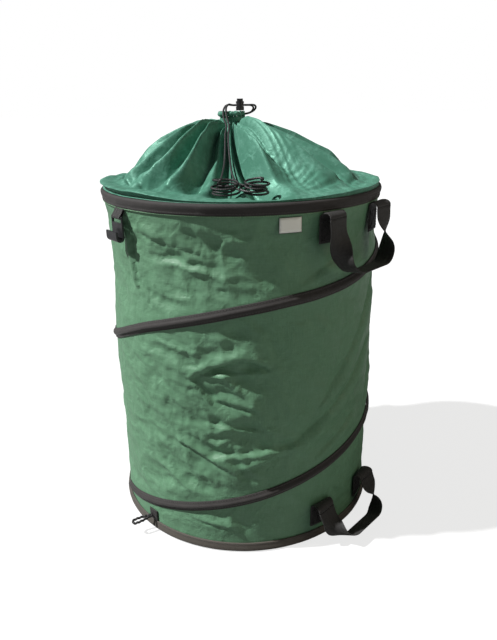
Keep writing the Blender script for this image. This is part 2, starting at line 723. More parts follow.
# How each finish is made, and its settings: rows of stitches across a tape, or the pitch of its yarns
FINISHES = {
    "wall_cloth": (wall_finish,),
    "nylon_sheet": (cover_finish,),
    "top_band": (tape_finish, (0.0042,)),
    "base_band": (tape_finish, (0.0040,), "base_tape"),
    "spiral_tape": (tape_finish, (0.0032, 0.0167)),
    "woven_webbing": (webbing_finish, 0.0019),
    "webbing_stitch": (webbing_finish, 0.0008),
    "braided_cord": (cord_finish, 0.0022),
    "elastic_cord": (cord_finish, 0.0032),
    "moulded_plastic": (plastic_finish,),
    "drawn_wire": (steel_finish,),
    "label_satin": (label_finish,),
    "seam_thread": (thread_finish,),
}


def finish_of(name):
    """Material of a finish, made at its first use."""
    if name not in bpy.data.materials:
        make, *settings = FINISHES[name]
        make(Finish(name), *settings)
    return bpy.data.materials[name]


# Geometry

def add_object(name, data):
    """New object in the scene."""
    obj = bpy.data.objects.new(name, data)
    bpy.context.scene.collection.objects.link(obj)
    return obj


def lofted(name, grid, cloth, finish, around=True, ring=False, caps=True):
    """Mesh through a grid of points, with cloth coordinates in metres.

    finish is a name from FINISHES. around joins each row's ends, ring the last row to the first, and caps closes
    both ends. cloth has one more column where rows are joined, and one more row in a ring.
    """
    grid = np.asarray(grid, float)
    cloth = np.asarray(cloth, float)
    rows, columns = grid.shape[:2]
    faces = []
    corners = []
    for i in range(rows if ring else rows - 1):
        for j in range(columns if around else columns - 1):
            k, m = (i + 1) % rows, (j + 1) % columns
            faces.append((i * columns + j, i * columns + m, k * columns + m, k * columns + j))
            corners += [cloth[i, j], cloth[i, j + 1], cloth[i + 1, j + 1], cloth[i + 1, j]]
    if caps:
        for i in (0, rows - 1):
            faces.append(tuple(i * columns + j for j in range(columns)))
            corners += [cloth[i, j] for j in range(columns)]
    mesh = bpy.data.meshes.new(name)
    mesh.from_pydata(grid.reshape(-1, 3).tolist(), [], faces)
    layer = mesh.uv_layers.new(name="cloth")
    layer.data.foreach_set("uv", np.array(corners, np.float32).ravel())
    mesh.shade_smooth()
    mesh.materials.append(finish_of(finish))
    if around:
        shape = bmesh.new()
        shape.from_mesh(mesh)
        bmesh.ops.recalc_face_normals(shape, faces=shape.faces)
        shape.to_mesh(mesh)
        shape.free()
    return add_object(name, mesh)


def tube(name, path, radius, finish, sides=10, ends=1.0):
    """Round cord along a path, with cloth coordinates along its length and girth. ends narrows its two ends."""
    path = [Vector(p) for p in path]
    turns = [2 * math.pi * j / sides for j in range(sides)]
    side = None
    grid, cloth = [], []
    for i, (point, along) in enumerate(zip(path, running_lengths(path))):
        tangent = (path[min(i + 1, len(path) - 1)] - path[max(i - 1, 0)]).normalized()
        if side is None:
            side = tangent.orthogonal().normalized()
        side = (side - tangent * side.dot(tangent)).normalized()
        up = tangent.cross(side)
        here = radius * (ends if i in (0, len(path) - 1) else 1.0)
        grid.append([point + side * here * math.cos(turn) + up * here * math.sin(turn) for turn in turns])
        cloth.append([(along, 2 * math.pi * radius * j / sides) for j in range(sides + 1)])
    return lofted(name, grid, cloth, finish)


# Outline of a strap's section, by half of its thickness and all of its width
STRAP_EDGE = (
    (-0.5, 0.35), (-0.48, 0.8), (-0.44, 1.0), (-0.25, 1.0), (0.0, 1.0), (0.25, 1.0), (0.44, 1.0), (0.48, 0.8),
    (0.5, 0.35),
)
STRAP_SECTION = (*STRAP_EDGE, *((x, -t) for x, t in reversed(STRAP_EDGE)))


def strap(name, centres, across, width, thickness, widths=None):
    """Woven strap along a middle line, with rounded edges. across is its width's direction at each point."""
    grid, cloth = [], []
    count = len(centres)
    for i, (centre, direction, along) in enumerate(zip(centres, across, running_lengths(centres))):
        tangent = (centres[min(i + 1, count - 1)] - centres[max(i - 1, 0)]).normalized()
        direction = (direction - tangent * direction.dot(tangent)).normalized()
        normal = tangent.cross(direction)
        here = width * (widths[i] if widths else 1.0)
        grid.append([centre + direction * here * x + normal * thickness / 2 * t for x, t in STRAP_SECTION])
        spots = [here * x for x, _ in STRAP_SECTION]
        cloth.append([(along, v) for v in spots] + [(along, spots[0])])
    return lofted(name, grid, cloth, "woven_webbing")


def solid(obj, thickness):
    """Give an open cloth its thickness, inwards."""
    modifier = obj.modifiers.new("thickness", "SOLIDIFY")
    modifier.thickness = thickness
    modifier.offset = -1.0


def apply_modifiers(obj):
    """Turn the object's modifiers into its mesh."""
    bpy.context.view_layer.update()
    graph = bpy.context.evaluated_depsgraph_get()
    mesh = bpy.data.meshes.new_from_object(obj.evaluated_get(graph))
    obj.modifiers.clear()
    obj.data = mesh


def settle(obj, body, slot, *nodes):
    """Let a piece ride on its body, take its slot and stand for its CAD nodes."""
    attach(obj, body)
    if nodes:
        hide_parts(*nodes)


def refinish(name, finish):
    """Give a CAD node that stays its finish."""
    node = frame["nodes"][name]
    node.data.materials.clear()
    node.data.materials.append(finish_of(finish))
    return node


def bevel(obj, width, segments):
    """Round an object's sharp edges."""
    modifier = obj.modifiers.new("edges", "BEVEL")
    modifier.width = width
    modifier.segments = segments
    modifier.limit_method = "ANGLE"


# Drum

def spiral_height(turn):
    """Height of the spiral's middle after a number of turns from the top hoop."""
    low, high = SPIRAL[0].z + 0.001 + SPIRAL_WIDTH / 2, SPIRAL[1].z - 0.001 - SPIRAL_WIDTH / 2
    index = 0
    while index < len(SPIRAL_PATH) - 2 and turn > SPIRAL_PATH[index + 1][0]:
        index += 1
    (t0, s0), (t1, s1) = SPIRAL_PATH[index:index + 2]
    slopes = []
    for k in (index, index + 1):
        before = SPIRAL_PATH[max(0, k - 1)]
        after = SPIRAL_PATH[min(len(SPIRAL_PATH) - 1, k + 1)]
        slopes.append((t1 - t0) * (after[1] - before[1]) / (after[0] - before[0]))
    return mix(low, high, hermite(s0, s1, *slopes, (turn - t0) / (t1 - t0)))


def held_heights(azimuth):
    """Heights at which hoops and spiral hold the wall at an azimuth, from low to high."""
    heights = [BASE_BAND[1].z - 0.004, BAND[0].z + 0.004]
    turn = ((SPIRAL_START - azimuth) % 360.0) / 360.0
    while turn <= SPIRAL_PATH[-1][0]:
        heights.append(spiral_height(turn))
        turn += 1.0
    return sorted(heights)


def crumple(point, scale, seed):
    """Crumpled relief about 0, with sharp ridges between its hollows."""
    place = Vector((point[0] / scale + seed, point[1] / scale - seed, point[2] / scale))
    bent = [noise.noise(place * 0.7 + Vector((0.0, step, 2.0 * step))) for step in (0.0, 19.1, 41.7)]
    return 0.5 - 2.4 * abs(noise.noise(place + 0.7 * Vector(bent)))


def crease_depth(azimuth, height):
    """Depth of the wall's own creases at a place, each a step in the cloth."""
    depth = 0.0
    for a0, h0, a1, h1, rise, width in WALL_CREASES:
        across = from_azimuth(azimuth, a0) * math.pi / 180.0 * RADIUS
        run = Vector(((a1 - a0) * math.pi / 180.0 * RADIUS, h1 - h0))
        offset = Vector((across, height - h0))
        along = offset.dot(run) / run.length_squared
        if -0.6 < along < 1.6:
            side = (offset - run * min(1.0, max(0.0, along))).length
            sign = 1.0 if run.x * offset.y - run.y * offset.x > 0 else -1.0
            if side < 3 * width:
                t = sign * side / width
                fade = ease((along + 0.25) / 0.4) * ease((1.25 - along) / 0.4)
                step = 1.6 * t * math.exp(-t * t) if t > 0 else -0.3 * math.exp(-4.0 * t * t)
                depth += CREASE_GAIN * rise * fade * step
    return depth


def wall_radius(azimuth, height, held):
    """Radius of the wall's cloth: it falls in between what holds it, creases and steps."""
    props = bpy.context.scene.bag_cloth
    below = max([h for h in held if h <= height], default=held[0])
    above = min([h for h in held if h > height], default=held[-1])
    span = max(above - below, 0.001)
    share = min(1.0, max(0.0, (height - below) / span))
    free = min(1.0, 4.0 * share * (1.0 - share))
    near = min(height - below, above - height)
    slack = ease((near - 0.006) / 0.030) * min(1.0, span / 0.09)
    point = polar(azimuth, RADIUS, height)
    lean = Vector((point.x, point.y, point.z * 1.25 + 0.45 * RADIUS * math.sin(math.radians(azimuth))))
    fold = crumple(lean, 0.070, 3.1) + 0.50 * crumple(lean, 0.034, 7.7) + 0.22 * crumple(lean, 0.015, 1.7)
    broad = noise.noise(point / 0.11) + 0.5 * noise.noise(point / 0.05)
    front = from_azimuth(azimuth, CREASED_FRONT)
    strength = 0.30 + 0.70 * dome(front, CREASED_HALF) + 0.20 * ease((abs(front) - 100.0) / 20.0)
    upper = ease((height - UPPER_WALL) / 0.06)
    depth = -props.waist * free * min(1.0, span / 0.16)
    depth += slack * (props.crease * (strength * fold + 0.35 * broad) + crease_depth(azimuth, height))
    depth -= UPPER_SINK * slack * upper
    return RADIUS + max(-WALL_INWARD, min(depth, mix(WALL_OUTWARD, 0.0, upper)))


class WASTEBAG_OT_wall(bpy.types.Operator):
    """Sew the drum's wall, which falls in and creases between its hoops"""

    bl_idname = "waste_bag.wall"
    bl_label = "Wall"

    def execute(self, context):
        columns, rows = 480, 190
        low, high = WALL[0].z, WALL[1].z
        azimuths = [360.0 * j / columns for j in range(columns)]
        held = [held_heights(azimuth) for azimuth in azimuths]
        grid, cloth = [], []
        for i in range(rows + 1):
            height = mix(low, high, i / rows)
            grid.append([
                polar(azimuth, wall_radius(azimuth, height, holds) - 0.0002, height)
                for azimuth, holds in zip(azimuths, held)
            ])
            cloth.append([(2 * math.pi * RADIUS * j / columns, height) for j in range(columns + 1)])
        wall = lofted("wall", grid, cloth, "wall_cloth", caps=False)
        solid(wall, CLOTH_THICKNESS)
        apply_modifiers(wall)
        settle(wall, "base", "body_cloth", "body_wall")
        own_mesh(wall)
        refinish("base_panel", "wall_cloth")
        return {"FINISHED"}


def band_loft(name, profile, wobble, body, node):
    """Padded tape round the drum from a closed profile of (radius, height)."""
    columns = 320
    profile = [Vector(p) for p in profile]
    lengths = running_lengths(profile + profile[:1])
    centre = sum(profile, Vector((0.0, 0.0))) / len(profile)
    grid = []
    for j in range(columns):
        azimuth = 360.0 * j / columns
        spot = polar(azimuth, RADIUS, 0.0)
        swell = wobble * (noise.noise(spot / 0.030) + 0.6 * noise.noise(spot / 0.012))
        lift = wobble * 1.2 * noise.noise(spot / 0.08 + Vector((5.0, 0.0, 0.0)))
        grid.append([
            polar(azimuth, p.x + swell * (1.0 if p.x > centre.x else 0.2), p.y + lift * 0.5) for p in profile
        ])
    cloth = [[(2 * math.pi * RADIUS * j / columns, length) for length in lengths] for j in range(columns + 1)]
    band = lofted(name, grid, cloth, name, ring=True, caps=False)
    settle(band, body, "binding_tape", node)


class WASTEBAG_OT_bands(bpy.types.Operator):
    """Bind both hoops in padded tape and sew the pale seam under the top one"""

    bl_idname = "waste_bag.bands"
    bl_label = "Bands"

    def execute(self, context):
        top, lip = BAND[1].z, BAND[0].z
        outer = BAND[1].x
        middle = top - 0.0042
        band_loft("top_band", (
            (RADIUS + 0.0003, lip + 0.0002), (RADIUS + 0.0017, lip), (RADIUS + 0.0024, lip + 0.0012),
            (RADIUS + 0.0022, lip + 0.0034), (RADIUS + 0.0030, lip + 0.0060), (outer - 0.0003, middle - 0.0030),
            (outer, middle), (outer - 0.0006, middle + 0.0020), (outer - 0.0020, top - 0.0006), (RADIUS, top),
            (RADIUS - 0.0022, top - 0.0006), (2 * RADIUS - outer + 0.0004, middle + 0.0016),
            (2 * RADIUS - outer, middle), (RADIUS - 0.0030, lip + 0.0060), (RADIUS - 0.0022, lip + 0.0010),
            (RADIUS - 0.0016, lip),
        ), 0.0005, "hoop", "top_binding")
        low, high = BASE_BAND[0].z, BASE_BAND[1].z
        foot = BASE_BAND[1].x
        band_loft("base_band", (
            (RADIUS + 0.0003, high), (RADIUS + 0.0016, high), (RADIUS + 0.0023, high - 0.0014),
            (RADIUS + 0.0022, high - 0.0036), (RADIUS + 0.0032, high - 0.0070), (foot, low + 0.0044),
            (foot - 0.0004, low + 0.0026), (RADIUS + 0.0022, low + 0.0009), (RADIUS, low + 0.0002),
            (RADIUS - 0.0068, low + 0.0002), (RADIUS - 0.0068, low + 0.0012), (RADIUS, low + 0.0013),
            (RADIUS + 0.0012, low + 0.0022), (RADIUS + 0.0026, low + 0.0044), (RADIUS + 0.0012, high - 0.0060),
        ), 0.0003, "base", "base_binding")
        path = [polar(360.0 * j / 240, RADIUS + 0.0011, lip - 0.0008) for j in range(241)]
        seam = tube("band_seam", path, 0.0008, "seam_thread", sides=6)
        settle(seam, "hoop", "body_cloth")
        for name in ("top_hoop_wire", "base_hoop_wire", "top_hoop_ferrule", "base_hoop_ferrule"):
            refinish(name, "drawn_wire")
        return {"FINISHED"}


class WASTEBAG_OT_spiral(bpy.types.Operator):
    """Sew the spiral's casing over its wire"""

    bl_idname = "waste_bag.spiral"
    bl_label = "Spiral casing"

    def execute(self, context):
        half = SPIRAL_WIDTH / 2
        spots = [0.0]
        for (a, b), (c, d) in zip(SPIRAL_SECTION, SPIRAL_SECTION[1:] + SPIRAL_SECTION[:1]):
            spots.append(spots[-1] + math.hypot((a - c) * half, b - d))
        count = round(SPIRAL_PATH[-1][0] * 300)
        grid, cloth = [], []
        for i in range(count + 1):
            turn = SPIRAL_PATH[-1][0] * i / count
            azimuth = SPIRAL_START - 360.0 * turn
            height = spiral_height(turn)
            spot = polar(azimuth, RADIUS, height)
            swell = 1.0 + 0.12 * noise.noise(spot / 0.02)
            bend = 0.0005 * noise.noise(spot / 0.05)
            grid.append([
                polar(azimuth, RADIUS + rise * (swell if rise > 0.001 else 1.0), height + share * half + bend)
                for share, rise in SPIRAL_SECTION
            ])
            cloth.append([(2 * math.pi * RADIUS * turn, across) for across in spots])
        casing = lofted("spiral_casing_tape", grid, cloth, "spiral_tape")
        settle(casing, "base", "binding_tape", "spiral_casing", "spiral_wire")
        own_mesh(casing)
        return {"FINISHED"}


# Cover

def fold_azimuth(azimuths, reach):
    """Azimuth of a fold at a reach, smooth through its four."""
    place = (reach - FOLD_REACHES[0]) / (FOLD_REACHES[1] - FOLD_REACHES[0])
    place = min(len(azimuths) - 1.0, max(0.0, place))
    return spline_value(azimuths, place) if place < len(azimuths) - 1 else azimuths[-1]


def back_folds():
    """Folds on the cover's sides and back, spaced unevenly as gathers fall."""
    dice = random.Random(11)
    folds = []
    azimuth = 76.0
    while azimuth < 276.0:
        for sign in (-1.0, 1.0):
            drift = dice.uniform(-4.0, 4.0)
            folds.append((
                (azimuth + drift, azimuth + 0.6 * drift, azimuth, azimuth - 0.4 * drift),
                sign * dice.uniform(0.0045, 0.0080), 0.14, dice.uniform(0.70, 0.82),
            ))
            azimuth += dice.uniform(8.5, 13.0)
    return tuple(folds)


def fold_row(reach, folds):
    """Azimuths and heights of every fold at one reach, once round."""
    row = []
    for azimuths, height, start, stop in folds:
        shown = ease((reach - start + 0.06) / 0.12) * ease((stop + 0.06 - reach) / 0.14)
        row.append((fold_azimuth(azimuths, reach), height * shown))
    first, last = row[0], row[-1]
    return [(last[0] - 360.0, last[1]), *row, (first[0] + 360.0, first[1])]


def fold_relief(azimuth, reach, row):
    """Height of the folds at an azimuth: they rise slowly from the left, and fall off steeply to the right."""
    if azimuth > row[-1][0]:
        azimuth -= 360.0
    index = min(max(1, bisect.bisect_left(row, (azimuth, 0.0))), len(row) - 1)
    (a0, h0), (a1, h1) = row[index - 1], row[index]
    share = min(1.0, max(0.0, (azimuth - a0) / max(0.1, a1 - a0)))
    steep = abs(a1 - a0) * math.pi / 180.0 * RADIUS * reach * STEEPEST_FOLD / max(0.0001, abs(h1 - h0))
    slow, fast = FOLD_POWERS
    profile = share ** slow if h1 > h0 else 1.0 - (1.0 - share) ** fast
    return mix(h0, h1, profile) * min(1.0, steep)


def rear_sink(free, azimuth):
    """Sink of the cover's free cloth as a share of the drum's radius, deepest at the rear right."""
    middle, depth = REAR_SINK
    return depth * free * (0.5 + 0.5 * math.cos(math.radians(azimuth - middle)))


def cover_base(place, azimuth):
    """Reach and height of the cover's plain form, as shares, at a place that counts along its rows."""
    reach, ridge, valley, width, middle = (spline_value(column, place) for column in COVER_COLUMNS)
    in_valley = dome(from_azimuth(azimuth, middle), width)
    free = max(0.0, 4.0 * reach * (1.0 - reach)) if reach > NECK_REACH else 0.0
    lean = rear_sink(free, azimuth)
    for side, half, depth in SIDE_SINKS:
        lean += depth * free * dome(from_azimuth(azimuth, side), half)
    return reach, mix(ridge - lean, valley, in_valley), in_valley


def cover_shift(reach):
    """How far the neck's side of the cover leans to the left."""
    return NECK_SHIFT * ease(1.0 - (reach - NECK_REACH) * 1.25)


def streak(azimuth, reach, fineness, seed):
    """Relief about 0 in ridges that run out from the neck."""
    angle = math.radians(azimuth)
    turn = 0.25 * noise.noise(Vector((math.sin(angle) * 2.0, math.cos(angle) * 2.0, reach * 1.2 + seed)))
    place = Vector((math.sin(angle + turn) * fineness, math.cos(angle + turn) * fineness, reach * 0.9 + seed))
    return 0.5 - 2.4 * abs(noise.noise(place))


def folds_rise(azimuth, reach, row):
    """Rise of the folds, softened along their ridges and left out beside the front valley."""
    fold = [fold_relief((azimuth + turn + 90.0) % 360.0 - 90.0, reach, row) for turn in (-0.9, 0.0, 0.9)]
    rise = FOLD_GAIN * (0.25 * fold[0] + 0.5 * fold[1] + 0.25 * fold[2])
    if rise > 0.0:
        low = ease((reach - 0.60) / 0.14)
        rise *= 1.0 - dome(from_azimuth(azimuth, mix(-8.5, -1.0, low)), mix(6.0, 17.0, low))
    return rise


def gathers_rise(azimuth, reach, in_valley):
    """Rise of the fine gathers at the neck."""
    shown = ease((0.80 - reach) / 0.55) * ease((reach - 0.085) / 0.03) * (1.0 - 0.8 * in_valley)
    if shown <= 0.0:
        return 0.0
    phase = azimuth * GATHERS + 330.0 * noise.noise(polar(azimuth, 1.4, reach * 0.7 + 1.0))
    spread = 0.55 + 0.9 * abs(noise.noise(polar(azimuth, 2.1, reach * 0.8 + 6.0)))
    return shown * GATHER_RISE * spread * (1.5 * math.sqrt(abs(math.sin(math.radians(phase) / 2))) - 1.1)


def cover_point(place, azimuth, row, bulge):
    """Point of the gathered cover."""
    reach, height, in_valley = cover_base(place, azimuth)
    radius = RADIUS * reach
    point = polar(azimuth, radius, 0.0)
    outside = 1.0 - in_valley
    rise = folds_rise(azimuth, reach, row) + gathers_rise(azimuth, reach, in_valley)
    rise -= NECK_SINK * ease((0.76 - reach) / 0.30) * ease((reach - 0.10) / 0.08) * outside
    # Skirt behind the rim, puffed up most at the left, with the crease inside it
    left = dome(from_azimuth(azimuth, -66.0), 40.0)
    puff = 0.5 + 0.5 * noise.noise(point / 0.06) + 0.4 * noise.noise(point / 0.022)
    rise += bulge * dome(reach - 0.955, 0.036, 2) * (1.0 - 0.9 * in_valley) * (0.55 * puff + 0.35 * left)
    crease = dome(reach - 0.865 - 0.02 * noise.noise(point / 0.09), 0.016, 2)
    rise -= SKIRT_CREASE * crease * outside * (0.6 + 0.6 * left)
    # Tuck under the top band
    if place < 2.0:
        inner = ease((2.0 - place) / 0.6)
        radius += (0.0050 * left + 0.0016 * puff) * ease((place - 0.8) / 0.5) * inner
        radius -= 0.0030 * math.sin(math.pi * min(1.0, place / 1.2)) * (0.4 + left) * ease((1.0 - place) / 0.6)
        rise += (0.0026 * left + 0.0012 * puff) * ease(place) * inner * outside
    # Ruched seam at the front's right
    ruche = dome(azimuth - mix(19.0, 33.0, (reach - 0.4) / 0.4), 6.0, 2) * ease((reach - 0.35) / 0.1)
    ruche *= ease((0.90 - reach) / 0.1)
    rise += RUCHE_RISE * ruche * math.sin(reach * 150.0 + 3.0 * noise.noise(point / 0.01))
    # Small streaks, weaker at the front where the folds are laid one by one
    free = ease((0.99 - reach) / 0.05) * ease((reach - 0.12) / 0.1)
    laid = dome(from_azimuth(azimuth, -10.0), 62.0, 6)
    rise += free * (1.0 - 0.8 * in_valley) * (
        0.0030 * (1.0 - 0.7 * laid) * streak(azimuth, reach, 6.5, 2.2) + 0.0018 * streak(azimuth, reach, 13.0, 5.1)
    )
    return polar(azimuth, radius, COVER_TOP + RADIUS * height + rise) + Vector((cover_shift(reach), 0.0, 0.0))


class WASTEBAG_OT_cover(bpy.types.Operator):
    """Gather the glossy cover to its neck, with its folds and the deep front valley"""

    bl_idname = "waste_bag.cover"
    bl_label = "Cover"

    def execute(self, context):
        bulge = context.scene.bag_cloth.bulge
        folds = FRONT_FOLDS + back_folds()
        columns = 600
        azimuths = [360.0 * (j / columns) - 90.0 for j in range(columns)]
        places = [0.0, 0.2, 0.4, 0.6, 0.8, *(row + step / 14.0 for row in range(1, 9) for step in range(14)), 9.0]
        grid, cloth = [], []
        for place in places:
            row = fold_row(spline_value(COVER_COLUMNS[0], place), folds)
            grid.append([cover_point(place, azimuth, row, bulge) for azimuth in azimuths])
            cloth.append([(2 * math.pi * RADIUS * j / columns, 0.03 * place) for j in range(columns + 1)])
        cover = lofted("cover", grid, cloth, "nylon_sheet", caps=False)
        solid(cover, NYLON_THICKNESS)
        apply_modifiers(cover)
        settle(cover, "hoop", "cover_nylon", "drawstring_cover")
        self.hem()
        return {"FINISHED"}

    def hem(self):
        """Gathered channel at the neck, open where the cord's ends come out."""
        first, last = HEM_MOUTH + HEM_MOUTH_HALF, HEM_MOUTH - HEM_MOUTH_HALF + 360.0
        height = hem_height()
        count, sides = 150, 14
        grid, cloth = [], []
        for i in range(count + 1):
            azimuth = mix(first, last, i / count)
            pucker = math.cos(math.radians(azimuth * 15.0 + 30.0 * math.sin(math.radians(azimuth * 3.0))))
            centre = polar(azimuth, RADIUS * NECK_REACH, height + 0.0003 * pucker) + Vector((NECK_SHIFT, 0.0, 0.0))
            row = []
            for j in range(sides):
                angle = 2 * math.pi * j / sides
                frill = 1.0 + 0.55 * max(0.0, math.sin(angle)) * (0.5 + 0.5 * pucker)
                thick = (HEM_RADIUS - 0.0002) * (1.0 - 0.10 * pucker) * (frill if abs(math.cos(angle)) < 0.8 else 1.0)
                upward = Vector((0.0, 0.0, thick * math.sin(angle)))
                row.append(centre + outward(azimuth) * thick * math.cos(angle) + upward)
            grid.append(row)
            cloth.append([(0.0004 * i, 0.0015 * j) for j in range(sides + 1)])
        hem = lofted("neck_hem", grid, cloth, "nylon_sheet")
        settle(hem, "hoop", "cover_nylon", "cover_hem")
        refinish("drawstring_in_hem", "braided_cord")
        return hem


# Cords

def hem_height():
    """Height of the hem's middle line."""
    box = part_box("cover_hem")
    return (box[0].z + box[1].z) / 2


def lock_place():
    """Middle of the cord lock's slot."""
    low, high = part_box("cord_lock_barrel")
    return Vector(((low.x + high.x) / 2, (low.y + high.y) / 2, low.z + LOCK_SLOT_HEIGHT))


def above_cover(place, azimuth, rise):
    """Point a height above the cover's cloth, as the CAD's rows have it."""
    row = min(int(place), len(COVER_ROWS) - 2)
    ends = []
    for reach, ridge, valley, width, middle in COVER_ROWS[row:row + 2]:
        free = 4.0 * reach * (1.0 - reach) if reach > NECK_REACH else 0.0
        pleat = 0.045 * free * (0.5 - 0.5 * math.cos(math.radians(azimuth * 10)))
        in_valley = dome(from_azimuth(azimuth, middle), width)
        height = mix(ridge - pleat - rear_sink(free, azimuth), valley, in_valley)
        shift = Vector((cover_shift(reach), 0.0, 0.0))
        ends.append(polar(azimuth, RADIUS * reach, COVER_TOP + RADIUS * height) + shift)
    return ends[0].lerp(ends[1], place - row) + Vector((0.0, 0.0, rise))


def heap_points(which):
    """Loops that a strand ends in, one on another."""
    (x, y), start, way = HEAPS[which]
    count = round(HEAP_TURNS * 24)
    points = []
    for i in range(count + 1):
        turn = i / 24
        angle = math.radians(start) + way * 2 * math.pi * turn
        share = 1.0 - HEAP_SHRINK * turn
        across, along = HEAP_RADII[0] * share * math.cos(angle), HEAP_RADII[1] * share * math.sin(angle)
        rise = HEAP_REST + HEAP_TILT * (along + HEAP_RADII[1]) + HEAP_CLIMB * turn
        rise += KNOT_RADIUS * ease((turn - HEAP_TURNS) / HEAP_END + 1.0)
        loose = ease(turn / 1.2)
        across += 0.0042 * loose * math.sin(2.3 * turn + 0.6)
        along += 0.0016 * loose * math.sin(1.7 * turn + 1.1)
        points.append(Vector((RADIUS * x + across, RADIUS * y + along, COVER_TOP + rise)))
    return points


def strand_path(which):
    """Route of a loose strand: out of the hem, through the lock, down the valley and into its heap."""
    side = -1.0 if which == "front" else 1.0
    azimuth = HEM_MOUTH + side * HEM_MOUTH_HALF
    end = polar(azimuth, RADIUS * NECK_REACH, hem_height()) + Vector((NECK_SHIFT, 0.0, 0.0))
    leave = sideways(azimuth) * -side
    lock = lock_place()
    own = Vector((0.0, -side * STRAND_SPACING / 2, 0.0))
    through = Vector((LOCK_RUN, 0.0, 0.0))
    heap = heap_points(which)
    arrive = (heap[1] - heap[0]).normalized()
    route = [
        end + leave * GAP, end + leave * 2 * CORD_RADIUS,
        *(lock + Vector(place) for place in LEADS[which]),
        *(lock + own + through * share for share in (1.0, 0.3, -0.3, -1.0)),
        *(lock + Vector(place) for place in FALLS[which]),
        *(above_cover(*place) for place in COURSES[which]),
        heap[0] - arrive * 4 * CORD_RADIUS,
    ]
    return smooth_curve(route + heap, 0.0030), heap


def knot_path(centre, out, radius):
    """Overhand knot about a point."""
    side = out.orthogonal().normalized()
    up = out.cross(side)
    points = []
    for i in range(61):
        t = 2 * math.pi * i / 60
        x, y, z = math.sin(t) + 2 * math.sin(2 * t), math.cos(t) - 2 * math.cos(2 * t), -math.sin(3 * t)
        points.append(centre + (side * x + up * y) * radius / 3.4 + out * z * radius / 2.2)
    return points


class WASTEBAG_OT_cords(bpy.types.Operator):
    """Lay the two loose strands of the drawstring and tie their knots"""

    bl_idname = "waste_bag.cords"
    bl_label = "Drawstring"

    def execute(self, context):
        for which in HEAPS:
            path, heap = strand_path(which)
            out = (heap[-1] - heap[-2]).normalized()
            centre = heap[-1] + out * (KNOT_RADIUS + GAP)
            path.append(centre - out * KNOT_RADIUS * 0.6)
            strand = tube(f"strand_{which}", path, CORD_RADIUS, "braided_cord")
            settle(strand, "hoop", "cord", f"drawstring_tail_{which}", f"drawstring_heap_{which}")
            turns = knot_path(centre, out, KNOT_RADIUS * 0.62)
            knot = tube(f"strand_knot_{which}", turns, CORD_RADIUS * 0.78, "braided_cord", sides=8)
            settle(knot, "hoop", "cord", f"drawstring_knot_{which}")
        return {"FINISHED"}


class WASTEBAG_OT_lock(bpy.types.Operator):
    """Mould the cord lock: ribbed barrel and domed plunger"""

    bl_idname = "waste_bag.lock"
    bl_label = "Cord lock"

    def execute(self, context):
        for name in ("cord_lock_barrel", "cord_lock_plunger"):
            node = refinish(name, "moulded_plastic")
            for polygon in node.data.polygons:
                polygon.use_smooth = False
            bevel(node, 0.0004, 2)
        self.spring()
        return {"FINISHED"}

    def spring(self):
        """Coil spring under the plunger, which shortens as the plunger is pressed."""
        low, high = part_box("cord_lock_spring")
        wire = 0.00035
        radius = (high.x - low.x) / 2 - wire
        middle = Vector(((low.x + high.x) / 2, (low.y + high.y) / 2, 0.0))
        points = []
        for i in range(49):
            angle = 2 * math.pi * i / 24
            height = mix(low.z + wire, high.z - wire, i / 48)
            points.append(middle + Vector((radius * math.cos(angle), radius * math.sin(angle), height)))
        spring = tube("lock_spring", points, wire, "drawn_wire", sides=6)
        settle(spring, "cord_lock", "spring_steel", "cord_lock_spring")
        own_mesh(spring)


# Webbing

def handle_azimuth(joint):
    """Azimuth that a swing's axis faces."""
    x, y, _ = JOINTS[joint]["axis"]
    return math.degrees(math.atan2(y, x))


def handle_end_line():
    """Middle line of a sewn end: up the wall, and over outwards into the fold."""
    off = STRAP_GAP + STRAP_THICKNESS / 2
    line = [(off, -PATCH_LENGTH + PATCH_LENGTH * i / 8) for i in range(8)]
    middle = (FOLD_REACH + off) / 2
    for step in range(17):
        angle = math.pi * (1.0 - step / 16)
        line.append((middle + (FOLD_REACH - off) / 2 * math.cos(angle), FOLD_RISE * math.sin(angle)))
    return line


def handle_end(name, place, azimuth, seam):
    """Sewn end of a handle, curved with the wall below and straight over its fold."""
    line = handle_end_line()
    grid, cloth = [], []
    along = 0.0
    for index, (off, height) in enumerate(line):
        before, after = line[max(0, index - 1)], line[min(len(line) - 1, index + 1)]
        slope = Vector((after[0] - before[0], after[1] - before[1])).normalized()
        normal = Vector((slope.y, -slope.x))
        if index:
            along += math.hypot(off - line[index - 1][0], height - line[index - 1][1])
        row, spots = [], []
        for x, t in STRAP_SECTION:
            across = STRAP_WIDTH * x
            thick = STRAP_THICKNESS / 2 * t
            radius = RADIUS + off + normal.x * thick
            level = seam + height + normal.y * thick
            wrapped = polar(place + math.degrees(across / (RADIUS + off)), radius, level)
            straight = polar(place, radius, level) + sideways(azimuth) * across
            row.append(wrapped.lerp(straight, ease((index - 7) / 12)))
            spots.append((along, across))
        grid.append(row)
        cloth.append(spots + [spots[0]])
    return lofted(name, grid, cloth, "woven_webbing")


